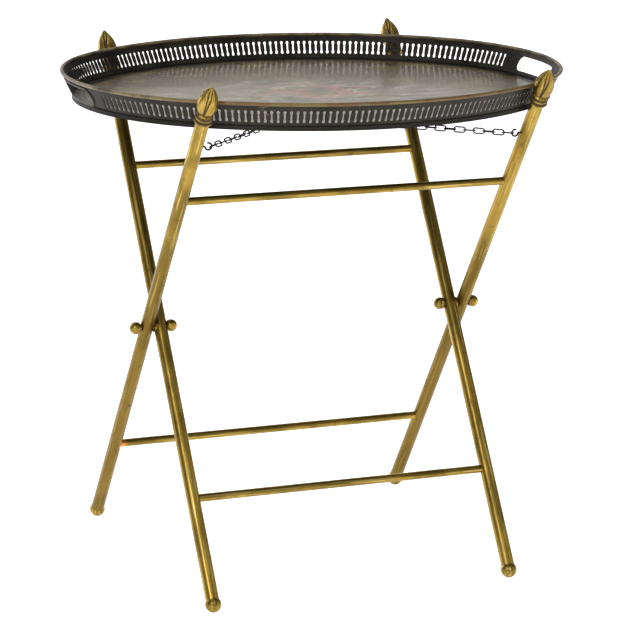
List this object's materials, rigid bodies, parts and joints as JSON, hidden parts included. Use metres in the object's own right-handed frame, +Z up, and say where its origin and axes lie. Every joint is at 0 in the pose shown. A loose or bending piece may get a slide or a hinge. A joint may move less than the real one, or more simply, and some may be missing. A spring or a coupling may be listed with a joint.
{
  "type": "folding tray table",
  "caption": "Folding butler's tray table: scissor stand of round brass tube with bud finials and ball feet, stay chains and a lift-off oval gallery tray with hand holes.",
  "frame": {"origin": "on the ground, straight below the middle of the tray", "axes": "+Z up, +X along the tray's long axis and the pivot axis, +Y to the back, the way the inner pair of legs leans at the top"},
  "size_m": [0.6068, 0.4954, 0.6188],
  "materials": {
    "leg_brass": "lacquered, tarnished",
    "rail_brass": "lacquered, tarnished",
    "ball_brass": "polished, worn",
    "bud_brass": "cast, dark in the grooves",
    "collar_brass": "cast, dark in the grooves",
    "dark_brass": "dark, tarnished",
    "bolt_steel": "dull",
    "chain_iron": "black, worn",
    "eye_iron": "black, worn",
    "floor_lacquer": "glossy lacquer with a painted spray",
    "gallery_paint": "worn dark paint",
    "band_paint": "worn black paint",
    "rim_gilt": "worn gilding",
    "edging_gilt": "worn gilding"
  },
  "bodies": {
    "inner_frame": {"chain_eye_inner_left": "eye_iron", "chain_eye_inner_right": "eye_iron", "chain_from_front_left": "chain_iron", "chain_from_front_right": "chain_iron", "finial_bud_inner_left": "bud_brass", "finial_bud_inner_right": "bud_brass", "finial_collar_inner_left": "collar_brass", "finial_collar_inner_right": "collar_brass", "foot_ball_inner_left": "ball_brass", "foot_ball_inner_right": "ball_brass", "inner_leg_left": "leg_brass", "inner_leg_right": "leg_brass", "inner_lower_rail": "rail_brass", "inner_upper_rail": "rail_brass", "pivot_bolt_left": "bolt_steel", "pivot_bolt_right": "bolt_steel", "pivot_knob_inner_left": "ball_brass", "pivot_knob_inner_right": "ball_brass", "pivot_knob_outer_left": "ball_brass", "pivot_knob_outer_right": "ball_brass", "pivot_spacer_left": "dark_brass", "pivot_spacer_right": "dark_brass", "pivot_washers": "dark_brass"},
    "outer_frame": {"chain_eye_outer_left": "eye_iron", "chain_eye_outer_right": "eye_iron", "finial_bud_outer_left": "bud_brass", "finial_bud_outer_right": "bud_brass", "finial_collar_outer_left": "collar_brass", "finial_collar_outer_right": "collar_brass", "foot_ball_outer_left": "ball_brass", "foot_ball_outer_right": "ball_brass", "outer_leg_left": "leg_brass", "outer_leg_right": "leg_brass", "outer_lower_rail": "rail_brass", "outer_upper_rail": "rail_brass"},
    "tray": {"hand_hole_edging_left": "edging_gilt", "hand_hole_edging_right": "edging_gilt", "tray_floor": "floor_lacquer", "tray_foot_band": "band_paint", "tray_gallery": "gallery_paint", "tray_rim": "rim_gilt"}
  },
  "joints": [
    {"name": "outer_fold", "type": "hinge", "parent": "inner_frame", "child": "outer_frame", "pos_m": [0, 0.0059, 0.29386], "axis": [-1, 0, 0], "range_deg": [0, 64], "deforming": ["chain_from_front_left", "chain_from_front_right"]},
    {"name": "tray_lift", "type": "slide", "parent": "inner_frame", "child": "tray", "axis": [0, 0.342, 0.9397], "range_m": [0, 0.59]}
  ],
  "couplings": [
    {"joint": "tray_lift", "follows": "outer_fold", "m_per_rad": 0.52}
  ]
}
